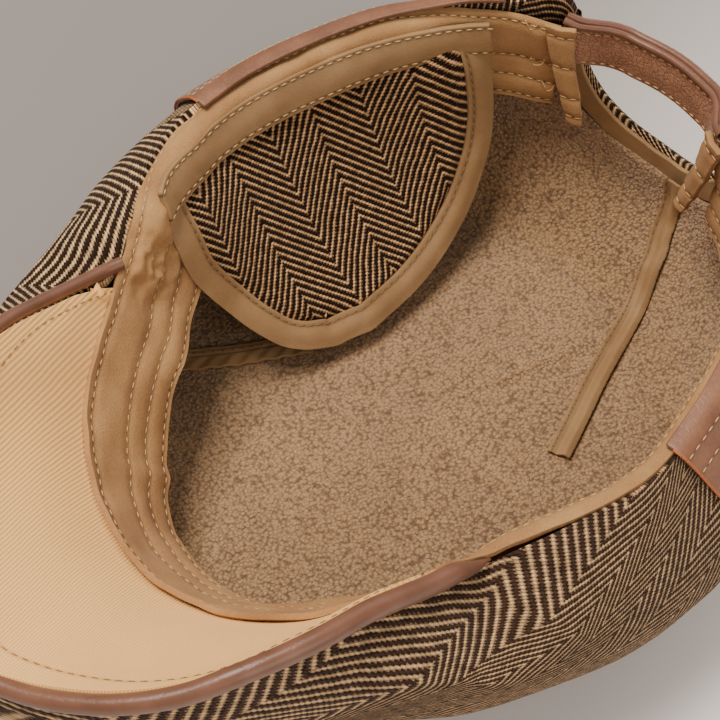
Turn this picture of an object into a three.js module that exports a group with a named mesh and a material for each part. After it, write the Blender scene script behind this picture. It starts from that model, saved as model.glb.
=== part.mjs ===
// A tweed flap cap, lying upside down on its crown with the ear flaps stowed inside.
//
// Frame: millimetres, +Z up. The origin is the middle of the flat patch that the crown rests
// on. The peak points along -X, the strap at the back is on +X, the wearer's left is +Y.
// Angles run round the head: 0 degrees is the back, 90 the left side, 180 the middle of the peak.

import * as THREE from "three";
import { mergeVertices } from "three/addons/utils/BufferGeometryUtils.js";

// ---------------------------------------------------------------------------
// Driving dimensions

const gap = 0.3; // air left between neighbouring pieces
const tweed = 2.0; // wall of the tweed crown
const fleece = 2.5; // wall of the fleece lining
const bandCloth = 1.4; // doubled cloth of the sweatband
const leather = 1.4; // leather of the side bands
const strapLeather = 1.5; // each layer of the back strap
const hemHeight = 11; // height of the seam between the side panel and the top panel
const peakPlate = 2.2; // stiffener and its two layers of cloth
const rollRadius = 2.6; // leather roll round the edge of the peak
const sweatInset = 2.4; // from the rim's outside to the back of the sweatband
const rootInset = 0.6; // the same at the peak, where no tweed lies between

// The rows of a table as objects with named columns.
function tableOf(columns, rows) {
  return rows.map((row) => Object.fromEntries(columns.map((name, i) => [name, row[i]])));
}

// One row for each section of the cap, from the back (0) round to the middle of the peak (180).
// The other side is its mirror image. Radii are from the Z axis.
//   rimR, rimZ      the edge of the head opening
//   edgeR, edgeZ    the upper edge of the crown: the rim, and past the temple the peak's edge
//   bellyR, bellyZ  the widest point of the crown
//   hemR            the seam between the side panel and the top panel
//   sackR, sackZ    the widest point of the lining
//   bandR, bandZ    the lower edge of the sweatband
const sectionColumns =
  "angle rimR rimZ edgeR edgeZ bellyR bellyZ hemR sackR sackZ bandR bandZ".split(" ");
const sections = tableOf(sectionColumns, [
  [0, 101, 85.5, 101, 85.5, 107, 30, 96, 103.6, 30, 98, 50],
  [22, 96.5, 87, 96.5, 87, 107.5, 34, 95.5, 104, 34, 93.6, 51],
  [45, 90.5, 84.5, 90.5, 84.5, 108.5, 39, 95, 105, 38, 87.5, 51],
  [67, 84.4, 81, 84.4, 81, 107.5, 41, 94, 104, 40, 81.5, 48],
  [90, 81, 79, 81, 79, 105, 41, 93, 101.4, 40, 77.5, 46],
  [104, 78.3, 76.5, 78.3, 76.5, 104.8, 44, 92.5, 100.4, 41, 73.5, 44],
  [114, 78, 73, 78, 73, 105, 47.5, 91.5, 99.6, 42, 69.5, 42.5],
  [121, 79.2, 68.5, 79.2, 68.5, 107, 51.5, 90.5, 99, 42, 66, 40.5],
  [126.5, 80.8, 64.5, 81.5, 62.5, 109, 54.5, 90, 98.6, 41, 64.2, 39],
  [133.5, 82.5, 62.3, 89.8, 66.5, 111.8, 59.5, 90, 98.8, 39, 63.8, 38],
  [140, 85, 60.8, 99, 73, 114, 63, 90.5, 99.4, 37, 66.5, 37],
  [146, 88.6, 58, 108.7, 79.5, 117.5, 62, 92, 100.4, 35, 69.4, 34.5],
  [151, 91.8, 55, 116.5, 82, 121.5, 64, 94, 101.6, 34, 71.8, 31.5],
  [155.5, 94, 52.3, 123.5, 83, 126.2, 65, 96, 102.6, 33, 74.3, 28],
  [159.5, 95.8, 50.3, 130, 81, 132.2, 63, 98, 103.6, 32, 77, 25],
  [164, 97.4, 48.6, 136.6, 78, 138.5, 61, 100, 104.6, 31, 79.5, 22.5],
  [169, 99.2, 47.2, 142.2, 74.5, 144, 58, 102, 105.6, 30, 81.5, 21],
  [174, 100.5, 46.4, 146.6, 71.2, 148.3, 55, 103, 106.4, 30, 82.6, 20.2],
  [180, 101, 46, 150, 69, 151.5, 53, 104, 107, 30, 83, 20],
]);
const temple = 126.5; // where the peak leaves the rim

// The rim bulges outwards and sags where the leather band on the right side begins.
const bulge = { angle: -98, width: 15, out: 3.8, drop: 2 };

// The arched gap at the back, under the strap.
const archAngle = -4; // its middle, a little to the right of the centre line
const archHalf = 18; // half its width, in degrees round the head
const archFloor = 44; // height of its lowest point
const archPower = 2.6; // above 2 the arch is squarer than an ellipse

// ---------------------------------------------------------------------------
// Small helpers

const rad = THREE.MathUtils.degToRad;
const { lerp, clamp, smoothstep } = THREE.MathUtils;

// The named columns of a table at a place between its rows: a smooth curve through the rows.
function between(table, key, place, name) {
  const last = table.length - 1;
  let i = 0;
  while (i < last - 1 && table[i + 1][key] < place) i++;
  const [a, b] = [table[i], table[i + 1]];
  const step = b[key] - a[key];
  const slope = (k) => {
    if (k <= 0 || k >= last) return 0;
    return (table[k + 1][name] - table[k - 1][name]) / (table[k + 1][key] - table[k - 1][key]);
  };
  const t = clamp((place - a[key]) / step, 0, 1);
  const [t2, t3] = [t * t, t * t * t];
  return (
    (2 * t3 - 3 * t2 + 1) * a[name] +
    (t3 - 2 * t2 + t) * step * slope(i) +
    (3 * t2 - 2 * t3) * b[name] +
    (t3 - t2) * step * slope(i + 1)
  );
}

function sectionAt(angle) {
  const folded = Math.abs(wrapped(angle));
  const row = {};
  for (const name of Object.keys(sections[0])) {
    if (name !== "angle") row[name] = between(sections, "angle", folded, name);
  }
  const pushed = Math.exp(-(((wrapped(angle) - bulge.angle) / bulge.width) ** 2));
  for (const name of ["rimR", "edgeR", "bandR"]) row[name] += bulge.out * pushed;
  for (const name of ["rimZ", "edgeZ"]) row[name] -= bulge.drop * pushed;
  return row;
}

// The same angle between -180 and 180.
const wrapped = (angle) => ((angle + 540) % 360) - 180;

const polar = (angle, r, z) =>
  new THREE.Vector3(r * Math.cos(rad(angle)), r * Math.sin(rad(angle)), z);

// The last number from low to high for which a test holds, when it holds up to some number.
function solve(low, high, holds) {
  for (let n = 0; n < 30; n++) {
    const middle = (low + high) / 2;
    if (holds(middle)) low = middle;
    else high = middle;
  }
  return low;
}

function bezier(a, b, c, d, t) {
  const s = 1 - t;
  return s * s * s * a + 3 * s * s * t * b + 3 * s * t * t * c + t * t * t * d;
}

// A span of numbers from a to b in equal steps, both ends included.
const span = (a, b, steps) => Array.from({ length: steps + 1 }, (_, i) => lerp(a, b, i / steps));

// A closed mesh from a list of triangles, each three points.
function meshOf(name, triangles, material) {
  const flat = triangles.flatMap((t) => t.flatMap((p) => p.toArray()));
  const soup = new THREE.BufferGeometry();
  soup.setAttribute("position", new THREE.Float32BufferAttribute(flat, 3));
  const geometry = mergeVertices(soup, 1e-3);
  geometry.computeVertexNormals();
  const mesh = new THREE.Mesh(geometry, material);
  mesh.name = name;
  return mesh;
}

// Unit normals of a grid of points, towards the left of its columns as its rows go up.
function normalsOf(grid, ring) {
  const count = grid.length;
  return grid.map((column, i) =>
    column.map((_, j) => {
      const before = ring ? grid[(i + count - 1) % count] : grid[Math.max(i - 1, 0)];
      const after = ring ? grid[(i + 1) % count] : grid[Math.min(i + 1, count - 1)];
      const along = after[j].clone().sub(before[j]);
      const across = column[Math.min(j + 1, column.length - 1)]
        .clone()
        .sub(column[Math.max(j - 1, 0)]);
      return along.cross(across).normalize();
    }),
  );
}

// A sheet of cloth or leather as a solid: the grid is its front face, and its back face lies
// a thickness behind, along the normals. A ring closes on itself; a capped one has its last
// row joined to a middle point.
function sheet(name, grid, thickness, material, options = {}) {
  const { ring = false, cap = null, normals = normalsOf(grid, ring) } = options;
  const back = grid.map((column, i) =>
    column.map((p, j) => p.clone().addScaledVector(normals[i][j], thickness)),
  );
  const rows = grid[0].length;
  const count = ring ? grid.length : grid.length - 1;
  const triangles = [];
  const quad = (a, b, c, d) => triangles.push([a, b, c], [a, c, d]);
  for (let i = 0; i < count; i++) {
    const n = (i + 1) % grid.length;
    for (let j = 0; j < rows - 1; j++) {
      quad(grid[i][j], grid[i][j + 1], grid[n][j + 1], grid[n][j]);
      quad(back[i][j], back[n][j], back[n][j + 1], back[i][j + 1]);
    }
    quad(grid[n][0], back[n][0], back[i][0], grid[i][0]);
    if (cap) {
      triangles.push([grid[i][rows - 1], cap, grid[n][rows - 1]]);
      const behind = cap.clone().setZ(cap.z + thickness);
      triangles.push([back[i][rows - 1], back[n][rows - 1], behind]);
    } else {
      quad(grid[i][rows - 1], back[i][rows - 1], back[n][rows - 1], grid[n][rows - 1]);
    }
  }
  if (!ring) {
    const end = grid.length - 1;
    for (let j = 0; j < rows - 1; j++) {
      quad(grid[0][j], back[0][j], back[0][j + 1], grid[0][j + 1]);
      quad(grid[end][j], grid[end][j + 1], back[end][j + 1], back[end][j]);
    }
  }
  return meshOf(name, triangles, material);
}

const mirrored = (grid) =>
  grid.map((column) => column.map((p) => new THREE.Vector3(p.x, -p.y, p.z))).reverse();

// ---------------------------------------------------------------------------
// Materials

const cloth = (color, roughness) => new THREE.MeshStandardMaterial({ color, roughness, metalness: 0 });
const tweedCloth = cloth(0x6b5a48, 0.95);
const fleeceCloth = cloth(0x9a7b58, 1.0);
const tanCloth = cloth(0xb98d58, 0.85);
const bindingCloth = cloth(0xa98c66, 0.8);
const peakTwill = cloth(0xd2b384, 0.85);
const brownLeather = cloth(0x8a5f4a, 0.5);

// ---------------------------------------------------------------------------
// The walls of the cap

const archRadius = 100; // about how far the arch is from the middle of the cap
const archDegrees = (width) => THREE.MathUtils.radToDeg(width / archRadius);

// Height of the arch's edge at an angle: the rim itself outside it. Grow widens it all round.
function archAt(angle, grow = 0) {
  const half = archHalf + archDegrees(grow);
  const across = Math.min(Math.abs(angle - archAngle) / half, 1);
  if (across === 1) return sectionAt(angle).rimZ;
  const floor = archFloor - grow;
  const drop = Math.pow(1 - Math.pow(across, archPower), 1 / archPower);
  return sectionAt(angle).rimZ - (sectionAt(angle).rimZ - floor) * drop;
}

const edgeBend = { out: 0.4, down: 0.26 }; // how a wall leaves its edge, as shares of its size
const bellyBend = 0.4; // how straight it arrives at its widest point
const seamBend = { in: 0.18, down: 0.42 }; // and how it runs from there to the seam
const floorBend = { share: 0.25, least: 1, flat: 0.4 }; // and from the seam to the floor

// The curve of a wall from its upper edge to its widest point, cut off at a height.
function upperWall(edge, belly, top, rows) {
  const drop = edge.z - belly.z;
  const reach = belly.r - edge.r;
  const at = (t) => ({
    r: bezier(edge.r, edge.r + edgeBend.out * reach, belly.r, belly.r, t),
    z: bezier(edge.z, edge.z - edgeBend.down * drop, belly.z + bellyBend * drop, belly.z, t),
  });
  const start = top < edge.z ? solve(0, 1, (t) => at(t).z > top) : 0;
  return span(start, 1, rows).map(at);
}

// The curve from the widest point under to the seam, then to the flat patch on the floor.
function lowerWall(belly, seam, rows) {
  const lean = seamBend.in * Math.hypot(belly.r - seam.r, belly.z - seam.z);
  return span(0, 1, rows)
    .slice(1)
    .map((t) => ({
      r: bezier(belly.r, belly.r, seam.r + lean, seam.r, t),
      z: bezier(belly.z, lerp(belly.z, seam.z, seamBend.down), seam.z + lean, seam.z, t),
    }));
}

function underWall(seam, floor, rows) {
  const lean = floorBend.share * seam.z + floorBend.least;
  return span(0, 1, rows)
    .slice(1)
    .map((t) => ({
      r: bezier(seam.r, seam.r - lean, lerp(floor.r, seam.r, floorBend.flat), floor.r, t),
      z: bezier(seam.z, seam.z - lean, floor.z, floor.z, t),
    }));
}

// The crown's outside from the rim down to its widest point, as radius and height.
function outsideOf(angle, top, rows) {
  const s = sectionAt(angle);
  return upperWall({ r: s.edgeR, z: s.edgeZ }, { r: s.bellyR, z: s.bellyZ }, top, rows);
}

// Radius of the crown's outside at a height above its widest point.
function wallRadius(angle, z) {
  return outsideOf(angle, z, 1)[0].r;
}

const upperRows = 4;
const lowerRows = 4;
const underRows = 3;
const seamRow = upperRows + lowerRows;
const patchInset = 16; // from the seam in to the flat patch

function crownColumn(angle) {
  const s = sectionAt(angle);
  const [edge, belly] = [{ r: s.edgeR, z: s.edgeZ }, { r: s.bellyR, z: s.bellyZ }];
  const [seam, floor] = [{ r: s.hemR, z: hemHeight }, { r: s.hemR - patchInset, z: 0 }];
  const inArch = Math.abs(angle - archAngle) < archHalf;
  const top = inArch ? archAt(angle) : s.edgeZ;
  return [
    ...upperWall(edge, belly, top, upperRows),
    ...lowerWall(belly, seam, lowerRows),
    ...underWall(seam, floor, underRows),
  ].map((p) => polar(angle, p.r, p.z));
}

const archSteps = [-1, -0.95, -0.85, -0.7, -0.45, 0, 0.45, 0.7, 0.85, 0.95, 1];
const archAngles = archSteps.map((step) => archAngle + step * archHalf);
const sideAngles = [26, 33, 40, 48, 56, 64, 72, 80, 90, 98, 106, 114, 120, 124, 128, 132];
const peakAngles = [136, 140, 144, 148, 152, 156, 160, 165, 170, 175];
const halfAngles = [...sideAngles, ...peakAngles];
const aroundAngles = [
  ...archAngles,
  ...halfAngles,
  180,
  ...halfAngles.map((angle) => 360 - angle).reverse(),
].sort((a, b) => a - b);

const crownGrid = aroundAngles.map(crownColumn);
const crownNormals = normalsOf(crownGrid, true);

const seamDraw = 0.6 * gap; // how far each cloth of a seam is drawn back from the other

// Rows of a grid from one to another, with the first or the last drawn back at a seam.
function rowsOf(grid, first, last, drawFirst, drawLast) {
  return grid.map((column) =>
    column.slice(first, last + 1).map((p, k, rows) => {
      const towards = k === 0 && drawFirst ? column[first + 1] : null;
      const back = k === rows.length - 1 && drawLast ? column[last - 1] : null;
      const target = towards ?? back;
      if (!target) return p.clone();
      return p.clone().addScaledVector(target.clone().sub(p).normalize(), seamDraw);
    }),
  );
}

const cutNormals = (first, last) => crownNormals.map((column) => column.slice(first, last + 1));

function crownSide() {
  const grid = rowsOf(crownGrid, 0, seamRow, false, true);
  const options = { ring: true, normals: cutNormals(0, seamRow) };
  return sheet("crown_side", grid, tweed, tweedCloth, options);
}

function crownTop() {
  const last = seamRow + underRows;
  const grid = rowsOf(crownGrid, seamRow, last, true, false);
  const normals = cutNormals(seamRow, last);
  normals.forEach((column) => column[underRows].set(0, 0, 1));
  const options = { ring: true, normals, cap: new THREE.Vector3(0, 0, 0) };
  return sheet("crown_top", grid, tweed, tweedCloth, options);
}

// The fleece lining: one bag inside the crown. Its front wall hangs from the root of the peak.
const liningDrop = 8.5; // its top edge below the rim, behind the sweatband
const liningClear = 0.5; // from the tweed to the fleece
const liningOut = 2.5; // its top edge outside the rim's line
const liningSeam = { inset: 6, more: 3.5, lift: 2 }; // its lower seam, in from the sack and up
const liningArch = 3; // its edge below the binding of the arch
const bindingWidth = 6.5;

function liningColumn(angle) {
  const s = sectionAt(angle);
  const edge = { r: s.rimR + liningOut, z: s.rimZ - liningDrop };
  const belly = { r: s.sackR, z: s.sackZ };
  const floorZ = tweed + liningClear;
  const seamR = Math.min(s.hemR, s.sackR - liningSeam.inset) - liningSeam.more;
  const seam = { r: seamR, z: hemHeight + liningSeam.lift };
  const floor = { r: seamR - patchInset, z: floorZ };
  const top = Math.min(edge.z, archAt(wrapped(angle), bindingWidth + liningArch));
  const upper = upperWall(edge, belly, top, 3).map((p) => {
    const most = p.z > s.bellyZ + 1 ? wallRadius(angle, p.z) - tweed - 2 * liningClear : Infinity;
    return { r: Math.min(p.r, most), z: p.z };
  });
  return [...upper, ...lowerWall(belly, seam, 3), ...underWall(seam, floor, 3)].map((p) =>
    polar(angle, p.r, p.z),
  );
}

const liningGrid = aroundAngles.map(liningColumn);

function lining() {
  const normals = normalsOf(liningGrid, true);
  normals.forEach((column) => column[column.length - 1].set(0, 0, 1));
  const cap = new THREE.Vector3(0, 0, tweed + liningClear);
  return sheet("lining", liningGrid, fleece, fleeceCloth, { ring: true, normals, cap });
}

// ---------------------------------------------------------------------------
// The sweatband: one strip round the head opening, upright at the sides and lying in at the
// peak, whose two ends meet the arch.

const bandEnd = archHalf + 1.6; // where it ends, in degrees from the arch's middle
const bandSpace = 2; // from there to its next line of corners
const bandLift = [3, 10]; // degrees from its end between which it falls back to the wall
const bandRoot = [118, 130]; // angles between which it turns from the side to the peak's root
const bandBack = [26, 46]; // angles between which its top edge rises from the arch to the side
const topDrop = 0.8; // its top edge below the rim
const backDrop = 3.8; // and beside the arch
const endLift = 1.9; // how far its ends stand further in, over the strap

function sweatband() {
  const ends = [archAngle + bandEnd, 360 + archAngle - bandEnd];
  const inner = aroundAngles.filter(
    (angle) => angle > ends[0] + bandSpace && angle < ends[1] - bandSpace,
  );
  const grid = [ends[0], ...inner, ends[1]].map((angle) => {
    const s = sectionAt(angle);
    const fromEnd = Math.min(angle - ends[0], ends[1] - angle);
    const turn = Math.abs(wrapped(angle));
    const lifted = endLift * (1 - smoothstep(fromEnd, ...bandLift));
    const inset = lerp(sweatInset, rootInset, smoothstep(turn, ...bandRoot));
    const drop = lerp(backDrop, topDrop, smoothstep(turn, ...bandBack));
    const top = { r: s.rimR - inset - lifted, z: s.rimZ - drop };
    return span(0, 1, 2).map((t) => polar(angle, lerp(top.r, s.bandR, t), lerp(top.z, s.bandZ, t)));
  });
  return sheet("sweatband", grid, bandCloth, tanCloth);
}

// ---------------------------------------------------------------------------
// The peak: a stiff plate between the rim and its leather roll

const rollDrop = 3.5; // the crown's edge below the middle of the roll
const plateClear = 1.5; // from the roll to the edge of the plate
const plateLift = 3.4; // its face above the middle of the roll and above the rim
const plateLeast = 2; // the shortest line from rim to roll at the temples
const rootClear = 1.4; // from the rim's line out to the root of the plate

const rollOut = 0.4; // its middle outside the crown's edge

// The middle of the roll at an angle: it ends under the sweatband at each temple.
function rollPoint(angle) {
  const s = sectionAt(angle);
  return polar(angle, s.edgeR + rollOut, s.edgeZ + rollDrop);
}

const rollAngles = [...[127.5, 129.5, 132], ...peakAngles, 180];
const rollPath = [...rollAngles, ...rollAngles.slice(0, -1).map((a) => 360 - a).reverse()];

function peakRoll() {
  const curve = new THREE.CatmullRomCurve3(rollPath.map(rollPoint));
  const sides = 8;
  const ring = new THREE.Shape(
    span(0, 360, sides)
      .slice(0, sides)
      .map((a) => new THREE.Vector2(rollRadius * Math.cos(rad(a)), rollRadius * Math.sin(rad(a)))),
  );
  const options = { steps: 44, extrudePath: curve, bevelEnabled: false };
  const mesh = new THREE.Mesh(new THREE.ExtrudeGeometry(ring, options), brownLeather);
  mesh.name = "peak_roll";
  return mesh;
}

// Straight lines run from front to back in the plate, which is bent across: each goes from
// the rim to the roll at one distance from the middle, and stops short of the roll.
function peakColumn(angle) {
  const side = angle > 180 ? -1 : 1;
  const outer = rollPoint(angle);
  const along = rollPoint(angle + 1).sub(rollPoint(angle - 1));
  const inward = new THREE.Vector3(-along.y, along.x, 0).setLength(rollRadius + plateClear);
  const edge = outer.add(inward);
  const beside = Math.abs(edge.y);
  const rimPoint = (turn) => {
    const s = sectionAt(turn);
    return polar(turn, s.rimR + rootClear, s.rimZ + plateLift);
  };
  const rimAngle = solve(temple, 180, (turn) => rimPoint(turn).y > beside);
  const rollAngle = solve(rollAngles[0], 180, (turn) => rollPoint(turn).y > beside);
  const [root, front] = [rimPoint(rimAngle), rollPoint(rollAngle)];
  front.z += plateLift;
  const end = root.clone().lerp(front, (edge.x - root.x) / (front.x - root.x));
  return span(0, 1, 3).map((t) => {
    const p = root.clone().lerp(end, t);
    return p.setY(p.y * side);
  });
}

function peak() {
  const wide = (column) => column[0].x - column[3].x > plateLeast;
  return sheet("peak", rollPath.map(peakColumn).filter(wide), peakPlate, peakTwill);
}

// ---------------------------------------------------------------------------
// The ear flaps, folded in: a band along the top, a tweed face and a binding round its edge.

const flapBinding = 7.5; // width of the binding round the edge
const flapCloth = 2.0;
const bandWidth = 7; // width of the band along the top
const bindingClear = 1.2; // between the binding and the face

// The left flap hangs in front of the sweatband and leans into the cap. The right one is
// tucked up behind the sweatband and stands against the wall. Each has its top edge, from its
// front angle to its back one, at a distance inside the rim and below it.
const flapTops = {
  left: { front: 113, back: 29, inset: 6.4, drop: 2.5 },
  right: { front: 110, back: 40, inset: -0.2, drop: 16 },
};

// The flap's outline below its top edge, on the left side or mirrored to it: rows going down,
// front and back points, and how much of the rim's bow is left across the row.
const outlineColumns = "down frontX frontY frontZ backX backY backZ bow".split(" ");
const flapOutlines = {
  left: [
    [0.3, -29, 58.5, 49, 78.5, 38, 51, 0.55],
    [0.55, -23.5, 51, 34, 72, 34, 32.5, 0.3],
    [0.75, -18, 43, 23.5, 57.5, 30, 19.5, 0.12],
    [0.9, -11, 36, 16, 36.5, 26.5, 13, 0.04],
    [1.0, 0, 30.5, 11.5, 13, 26.5, 11, 0],
  ],
  right: [
    [0.3, -31.5, 77, 46, 79, 53.3, 53, 1.0],
    [0.55, -26.6, 80.8, 34, 75.8, 59.2, 38, 0.92],
    [0.75, -16.4, 83.4, 25, 65.3, 67.5, 27, 0.56],
    [0.9, -3, 85, 20, 48, 76.8, 21, 0.22],
    [1.0, 14.9, 84.2, 17.5, 30.1, 81.8, 17.5, 0.02],
  ],
};

function flapTop(side, share) {
  const top = flapTops[side];
  const angle = lerp(top.front, top.back, share);
  const s = sectionAt(side === "left" ? angle : -angle);
  return polar(angle, s.rimR - top.inset, s.rimZ - top.drop);
}

// The rows of a flap's outline with its top edge as the first.
function outlineOf(side) {
  const [front, back] = [flapTop(side, 0), flapTop(side, 1)];
  const top = [0, ...front.toArray(), ...back.toArray(), 1];
  return tableOf(outlineColumns, [top, ...flapOutlines[side]]);
}

const belowBand = 0.006; // air between the band and the face, as a share of the flap's height
const outlineSteps = [0.2, 0.32, 0.44, 0.56, 0.67, 0.77, 0.85, 0.92, 0.97, 1];

function flapParts(side, place) {
  const rows = outlineOf(side);
  const bandShare = bandWidth / (rows[0].backZ - rows[rows.length - 1].backZ);

  // A point of the flap's face: down from its top edge, across from its front edge.
  const point = (down, across) => {
    const value = (name) => between(rows, "down", down, name);
    const front = new THREE.Vector3(value("frontX"), value("frontY"), value("frontZ"));
    const back = new THREE.Vector3(value("backX"), value("backY"), value("backZ"));
    const bowed = flapTop(side, across).sub(flapTop(side, 0).lerp(flapTop(side, 1), across));
    return front.lerp(back, across).addScaledVector(bowed, value("bow"));
  };

  // The outline below the band, front to tip to back, and the same drawn in by a width.
  const steps = [bandShare + belowBand, ...outlineSteps];
  const outline = [
    ...steps.map((down) => point(down, 0)),
    ...[0.35, 0.65].map((across) => point(1, across)),
    ...steps.map((down) => point(down, 1)).reverse(),
  ];
  const middle = point(0.5, 0.5);
  const inset = (width) =>
    outline.map((p, i) => {
      const before = outline[Math.max(i - 1, 0)];
      const along = outline[Math.min(i + 1, outline.length - 1)].clone().sub(before).normalize();
      const towards = middle.clone().sub(p);
      towards.addScaledVector(along, -towards.dot(along)).normalize();
      return p.clone().addScaledVector(towards, width);
    });
  const [inner, face] = [inset(flapBinding), inset(flapBinding + bindingClear)];
  const across = span(0, 1, 8);
  const faceRows = steps.slice(0, -1).map((down, k) => {
    const [a, b] = [face[k], face[face.length - 1 - k]];
    const flat = (share) => point(down, 0).lerp(point(down, 1), share);
    return across.map((share) => a.clone().lerp(b, share).add(point(down, share)).sub(flat(share)));
  });
  const faceGrid = across.map((_, j) => faceRows.map((row) => row[j]));
  const bindGrid = outline.map((p, i) => [inner[i], p]);
  const bandGrid = span(0, 1, 16).map((share) => [point(0, share), point(bandShare, share)]);

  const turn = (grid) => (side === "left" ? grid : mirrored(grid));
  place.add(
    sheet("ear_flap_" + side, turn(faceGrid), flapCloth, tweedCloth),
    sheet("ear_flap_binding_" + side, turn(bindGrid), flapCloth, bindingCloth),
    sheet("ear_flap_band_" + side, turn(bandGrid), flapCloth, bindingCloth),
  );
}

// ---------------------------------------------------------------------------
// Leather: a band folded over the rim on each side, and a two-layer strap over the arch

const bandClear = 0.5; // from the tweed to the leather
const sideBandAngles = [90, 80, 72, 64, 56, 48, 40, 33, 26];
const bandRows = 6; // down the outside, out of the eight from the rim to the belly
const bandInside = 3.7; // how far its inner edge reaches inside the rim
const bandOutside = 0.1; // and where it turns down outside it
const bandSlant = 5; // how far its front end runs back on the way down, in degrees

function sideBand(side, place) {
  const sign = side === "left" ? 1 : -1;
  const grid = sideBandAngles.map((angle, i) => {
    const s = sectionAt(sign * angle);
    const wall = outsideOf(sign * angle, s.edgeZ, 8);
    const column = [s.rimR - bandInside, s.rimR + bandOutside].map((r) =>
      polar(sign * angle, r, s.rimZ + bandClear),
    );
    for (let k = 1; k <= bandRows; k++) {
      const turn = sign * (i === 0 ? angle - (bandSlant * k) / bandRows : angle);
      const p = outsideOf(turn, sectionAt(turn).edgeZ, 8)[k];
      const step = { r: wall[k + 1].r - wall[k - 1].r, z: wall[k + 1].z - wall[k - 1].z };
      const clear = ((i === 0 ? 2 : 1) * bandClear) / Math.hypot(step.r, step.z);
      column.push(polar(turn, p.r - step.z * clear, p.z + step.r * clear));
    }
    return column;
  });
  place.add(sheet("side_band_" + side, sign > 0 ? grid : grid.reverse(), leather, brownLeather));
}

const strapReach = archHalf + 0.9; // half its length, in degrees
const strapLow = 69.3;
const strapTop = 84.3; // at its middle
const strapSlack = 3.7; // how far its ends are above its middle
const strapSwing = [0.5, 0.94]; // between these shares of its half it swings in to the rim

// One layer of the strap: how far inside the rim its inner face lies at its ends and middle.
function strapLayer(name, endInset, middleInset, lift, place) {
  const grid = span(1, -1, 16).map((across) => {
    const angle = archAngle + across * strapReach;
    const inset = lerp(middleInset, endInset, smoothstep(Math.abs(across), ...strapSwing));
    const r = sectionAt(angle).rimR - inset;
    const up = lift + strapSlack * across * across;
    return [strapTop, (strapTop + strapLow) / 2, strapLow].map((z) => polar(angle, r, z + up));
  });
  place.add(sheet(name, grid, strapLeather, brownLeather));
}

// ---------------------------------------------------------------------------
// Tan trim: the binding inside the arch, a folded tab over each end of the sweatband, and
// the tapes that cover two seams of the lining

const bindingReach = 0.95; // share of the arch's half that it covers
const bindingAbove = 1.2; // its upper edge below the edge of the tweed
const archCloth = 1.6;

function archBinding(place) {
  const grid = span(-bindingReach, bindingReach, 16).map((across) => {
    const near = archAngle + across * archHalf;
    const far = archAngle + across * (archHalf + archDegrees(bindingWidth));
    const [high, low] = [archAt(near) - bindingAbove, archAt(far, bindingWidth)];
    const inset = tweed + 2 * gap;
    return [
      polar(near, wallRadius(near, high) - inset, high),
      polar(far, wallRadius(far, low) - inset, low),
    ];
  });
  place.add(sheet("arch_binding", grid, archCloth, bindingCloth));
}

const tabRows = [
  // height, then its two edges in degrees from the arch's middle
  [86, 16, 22.4],
  [74, 15.6, 20.4],
  [62, 14.4, 17.6],
  [50, 13.2, 14.6],
];
const tabInset = 6.5;
const tabCloth = 2.2;

function cornerTab(side, place) {
  const sign = side === "left" ? 1 : -1;
  const columns = [0, 0.5, 1].map((share) =>
    tabRows.map(([z, near, far]) => {
      const angle = archAngle + sign * lerp(near, far, share);
      return polar(angle, sectionAt(angle).rimR - tabInset, z);
    }),
  );
  const grid = sign > 0 ? columns : columns.reverse();
  place.add(sheet("corner_tab_" + side, grid, tabCloth, tanCloth));
}

// The fleece's face at an angle: points from its top edge to the floor, lifted by a gap.
function fleeceFace(angle) {
  const grid = [angle - 1, angle, angle + 1].map(liningColumn);
  const normals = normalsOf(grid, false)[1];
  return grid[1].map((p, j) => p.clone().addScaledVector(normals[j], fleece + gap));
}

// The face of the fleece at a place in the floor plan. A place beyond the wall's widest
// point is that much further up the wall.
function fleecePoint(place) {
  const column = fleeceFace(THREE.MathUtils.radToDeg(place.angle()));
  const radii = column.map((p) => Math.hypot(p.x, p.y));
  const [r, last] = [place.length(), column.length - 1];
  if (r <= radii[last]) return new THREE.Vector3(place.x, place.y, column[last].z);
  const widest = radii.indexOf(Math.max(...radii));
  const climb = r - radii[widest];
  const levels = climb > 0 ? column.map((p) => p.z - column[widest].z) : radii;
  const wanted = climb > 0 ? climb : r;
  let j = climb > 0 ? 0 : widest;
  while (j < last - 1 && levels[j + 1] > wanted) j++;
  const share = (levels[j] - wanted) / (levels[j] - levels[j + 1]);
  return column[j].clone().lerp(column[j + 1], share);
}

const tapeCloth = 1.0;

// A flat tape on the fleece along a curve of the floor plan through a few places.
function seamTape(name, width, steps, places, place) {
  const route = new THREE.SplineCurve(places.map(([x, y]) => new THREE.Vector2(x, y)));
  const grid = span(0, 1, steps).map((share) => {
    const ahead = route.getTangent(share);
    const aside = new THREE.Vector2(-ahead.y, ahead.x).setLength(width / 2);
    const middle = route.getPoint(share);
    return [middle.clone().sub(aside), middle.clone().add(aside)].map(fleecePoint);
  });
  place.add(sheet(name, grid, tapeCloth, bindingCloth));
}

// ---------------------------------------------------------------------------

const cap = new THREE.Group();
cap.add(crownSide(), crownTop(), lining(), sweatband(), peak(), peakRoll());
for (const side of ["left", "right"]) {
  flapParts(side, cap);
  sideBand(side, cap);
  cornerTab(side, cap);
}
strapLayer("strap_inner", 6.1, -0.4, 0, cap);
strapLayer("strap_outer", 3.9, -2.3, 0.4, cap);
archBinding(cap);
seamTape("back_seam_tape", 5.5, 18, [[116, -16], [97, -15], [77, -20.5], [19.3, -40.5]], cap);
seamTape("side_seam_tape", 7.5, 9, [[-52, 80.5], [-21.5, 54.3], [-1, 40]], cap);

export default cap;
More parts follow.
